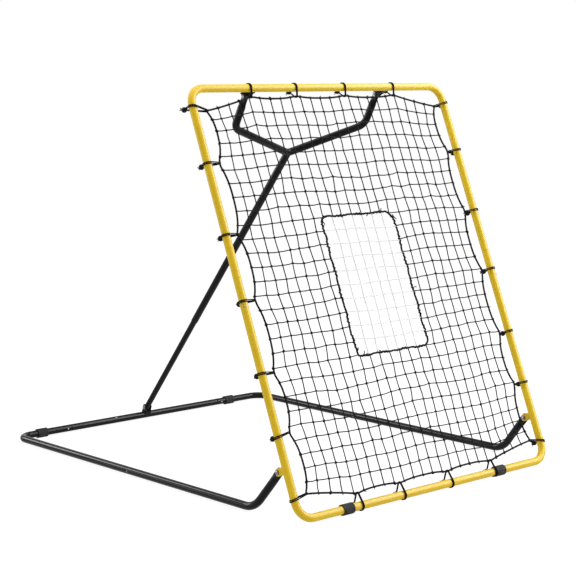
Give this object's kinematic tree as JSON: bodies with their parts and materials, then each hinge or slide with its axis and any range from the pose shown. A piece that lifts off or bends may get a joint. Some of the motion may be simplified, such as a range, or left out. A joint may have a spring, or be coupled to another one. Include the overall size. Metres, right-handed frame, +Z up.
{
  "type": "pitch back rebounder",
  "caption": "Leaning tubular frame with a net on elastic ties, hinged on a floor base and propped by a yoke and a telescoping strut, returns a thrown ball.",
  "frame": {"origin": "on the floor, under the middle of the object's overall box", "axes": "+Z up, +X to the right of a player who faces the net, +Y from the net towards the rear bar"},
  "size_m": [1.2802, 1.749, 1.4072],
  "materials": {
    "yellow_paint": "gloss powder coat",
    "black_paint": "gloss powder coat",
    "zinc_steel": "bright zinc",
    "black_rubber": "ribbed matte",
    "black_cord": "braided cord",
    "white_cord": "knotted twine"
  },
  "bodies": {
    "base": {"base_front_tube_left": "black_paint", "base_front_tube_right": "black_paint", "base_corner_tube_left": "black_paint", "base_corner_tube_right": "black_paint", "base_rear_bar": "black_paint", "clevis_bracket": "black_paint", "clevis_bolt": "zinc_steel", "rear_foot_left": "black_rubber", "rear_foot_right": "black_rubber"},
    "frame": {"frame_upper_tube": "yellow_paint", "frame_lower_tube": "yellow_paint", "lower_lug_left": "yellow_paint", "lower_lug_right": "yellow_paint", "upper_lug_left": "black_paint", "upper_lug_right": "black_paint", "lower_pivot_bolt_left": "zinc_steel", "lower_pivot_bolt_right": "zinc_steel", "upper_pivot_bolt_left": "zinc_steel", "upper_pivot_bolt_right": "zinc_steel", "front_foot_left": "black_rubber", "front_foot_right": "black_rubber", "net_mesh": "black_cord", "net_edge_rope": "black_cord", "strike_zone_panel": "white_cord", "tie_left_1": "black_cord", "tie_left_2": "black_cord", "tie_left_3": "black_cord", "tie_left_4": "black_cord", "tie_left_5": "black_cord", "tie_left_6": "black_cord", "tie_left_7": "black_cord", "tie_right_1": "black_cord", "tie_right_2": "black_cord", "tie_right_3": "black_cord", "tie_right_4": "black_cord", "tie_right_5": "black_cord", "tie_right_6": "black_cord", "tie_right_7": "black_cord", "tie_top_1": "black_cord", "tie_top_2": "black_cord", "tie_top_3": "black_cord", "tie_top_4": "black_cord", "tie_bottom_1": "black_cord", "tie_bottom_2": "black_cord", "tie_bottom_3": "black_cord", "tie_bottom_4": "black_cord"},
    "yoke": {"yoke_arm_left": "black_paint", "yoke_arm_right": "black_paint", "yoke_centre_tube": "black_paint", "strut_upper_tube": "black_paint"},
    "strut_lower": {"strut_lower_tube": "black_paint"},
    "frame_snap_left": {"frame_button_left": "zinc_steel"},
    "frame_snap_right": {"frame_button_right": "zinc_steel"},
    "base_snap_left": {"base_button_left": "zinc_steel"},
    "rear_bar_snap_left": {"rear_bar_button_left": "zinc_steel"},
    "base_snap_right": {"base_button_right": "zinc_steel"},
    "rear_bar_snap_right": {"rear_bar_button_right": "zinc_steel"},
    "yoke_snap_left": {"yoke_button_left": "zinc_steel"},
    "yoke_snap_right": {"yoke_button_right": "zinc_steel"}
  },
  "joints": [
    {"name": "frame_tilt", "type": "hinge", "parent": "base", "child": "frame", "pos_m": [0, -0.75905, 0.15901], "axis": [-1, 0, 0], "range_deg": [-5, 9]},
    {"name": "yoke_swing", "type": "hinge", "parent": "frame", "child": "yoke", "pos_m": [0, -0.27527, 1.36332], "axis": [-1, 0, 0], "range_deg": [-6.1, 3.4]},
    {"name": "strut_slide", "type": "slide", "parent": "yoke", "child": "strut_lower", "axis": [0, 0.6603, -0.751], "range_m": [-0.1835, 0.102]},
    {"name": "frame_snap_left_press", "type": "slide", "parent": "frame", "child": "frame_snap_left", "axis": [0.7071, 0.6584, -0.258], "range_m": [0, 0.005], "stiffness_N_per_m": 300, "springref_m": -0.005},
    {"name": "frame_snap_right_press", "type": "slide", "parent": "frame", "child": "frame_snap_right", "axis": [-0.7071, 0.6584, -0.258], "range_m": [0, 0.005], "stiffness_N_per_m": 300, "springref_m": -0.005},
    {"name": "base_snap_left_press", "type": "slide", "parent": "base", "child": "base_snap_left", "axis": [0.9999, 0.0141, 0], "range_m": [0, 0.005], "stiffness_N_per_m": 300, "springref_m": -0.005},
    {"name": "rear_bar_snap_left_press", "type": "slide", "parent": "base", "child": "rear_bar_snap_left", "axis": [0, 1, 0], "range_m": [0, 0.005], "stiffness_N_per_m": 300, "springref_m": -0.005},
    {"name": "base_snap_right_press", "type": "slide", "parent": "base", "child": "base_snap_right", "axis": [0.9999, -0.0141, 0], "range_m": [0, 0.005], "stiffness_N_per_m": 300, "springref_m": -0.005},
    {"name": "rear_bar_snap_right_press", "type": "slide", "parent": "base", "child": "rear_bar_snap_right", "axis": [0, 1, 0], "range_m": [0, 0.005], "stiffness_N_per_m": 300, "springref_m": -0.005},
    {"name": "yoke_snap_left_press", "type": "slide", "parent": "yoke", "child": "yoke_snap_left", "axis": [-0.3741, 0.4424, -0.8151], "range_m": [0, 0.005], "stiffness_N_per_m": 300, "springref_m": -0.005},
    {"name": "yoke_snap_right_press", "type": "slide", "parent": "yoke", "child": "yoke_snap_right", "axis": [0.3826, 0.4393, -0.8128], "range_m": [0, 0.005], "stiffness_N_per_m": 300, "springref_m": -0.005}
  ],
  "couplings": [
    {"joint": "yoke_swing", "follows": "frame_tilt", "ratio": -0.66832},
    {"joint": "strut_slide", "follows": "frame_tilt", "m_per_rad": -1.1642}
  ]
}
